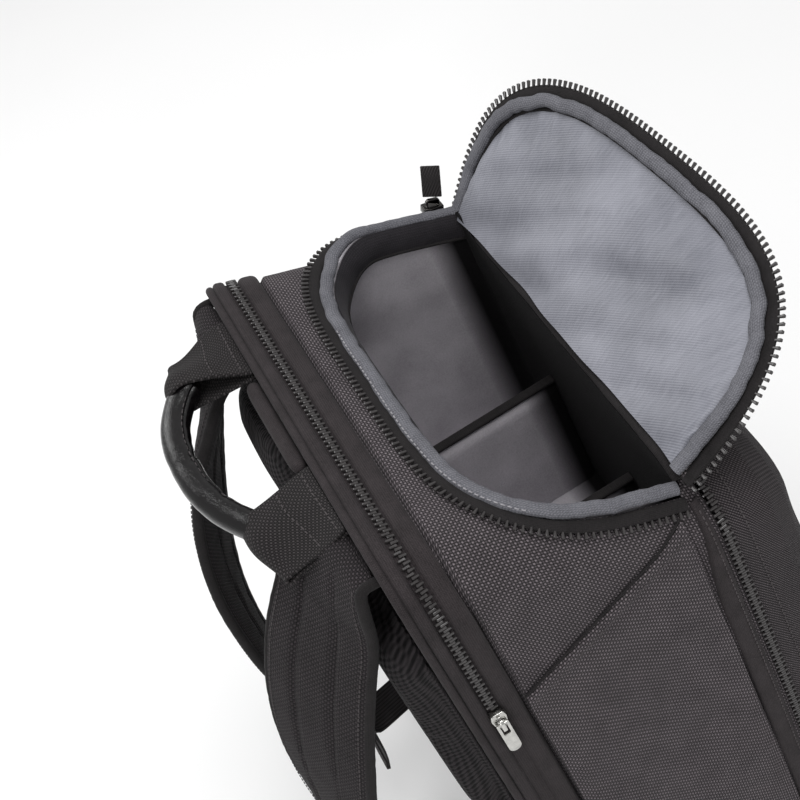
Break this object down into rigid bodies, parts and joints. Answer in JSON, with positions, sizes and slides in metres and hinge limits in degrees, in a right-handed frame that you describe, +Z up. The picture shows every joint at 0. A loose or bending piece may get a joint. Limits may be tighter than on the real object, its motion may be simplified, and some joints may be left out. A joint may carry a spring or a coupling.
{
  "type": "camera backpack",
  "caption": "Upright padded camera backpack with its zipped top hatch open, haul handle, shoulder straps and front pocket.",
  "frame": {"origin": "on the floor, on the underside of the base panel, 9 mm in front of its middle", "axes": "+X to the wearer's right, +Y to the wearer's back, +Z up"},
  "size_m": [0.3218, 0.3588, 0.4927],
  "materials": {
    "weave": "coarse ballistic weave",
    "rib": "fine diagonal rib weave",
    "tape": "smooth zip tape",
    "mesh": "padded spacer mesh",
    "webbing": "woven webbing",
    "leather": "glossy, wrinkled",
    "lining": "satin nylon twill",
    "brushed": "brushed nylon",
    "plastic": "moulded, satin",
    "metal": "polished"
  },
  "bodies": {
    "root": {"main_shell": "weave", "base_panel": "plastic", "zip_band": "tape", "laptop_zip_chain": "plastic", "front_pocket": "rib", "front_zip_chain": "plastic", "camera_bay": "brushed", "hatch_rim_zip": "tape", "hatch_binding": "lining", "hatch_hinge_fold": "weave", "hatch_lid": "weave", "lid_lining": "lining", "lid_binding": "lining", "lid_zip": "tape", "back_board": "mesh", "back_top_roll": "tape", "lumbar_pad": "mesh", "handle_grip": "leather", "handle_tab_left": "webbing", "handle_tab_right": "webbing", "bay_divider_left": "brushed", "side_panel_left": "weave", "front_zip_flap_left": "tape", "back_pad_left": "mesh", "shoulder_strap_left": "webbing", "strap_buckle_left": "plastic", "strap_wing_left": "weave", "strap_webbing_left": "webbing", "strap_tail_left": "webbing", "bay_divider_right": "brushed", "side_panel_right": "weave", "front_zip_flap_right": "tape", "back_pad_right": "mesh", "shoulder_strap_right": "webbing", "strap_buckle_right": "plastic", "strap_wing_right": "weave", "strap_webbing_right": "webbing", "strap_tail_right": "webbing", "laptop_slider": "metal", "front_slider": "metal", "hatch_slider": "metal", "hatch_tag": "webbing"},
    "laptop_pull_body": {"laptop_pull": "metal"},
    "front_pull_body": {"front_pull": "metal"}
  },
  "joints": [
    {"name": "laptop_pull_hinge", "type": "hinge", "parent": "root", "child": "laptop_pull_body", "pos_m": [-0.16043, 0.07866, 0.3485], "axis": [0, 1, 0], "range_deg": [0, 160]},
    {"name": "front_pull_hinge", "type": "hinge", "parent": "root", "child": "front_pull_body", "pos_m": [-0.15801, -0.072, 0.118], "axis": [0, 1, 0], "range_deg": [0, 160]}
  ]
}
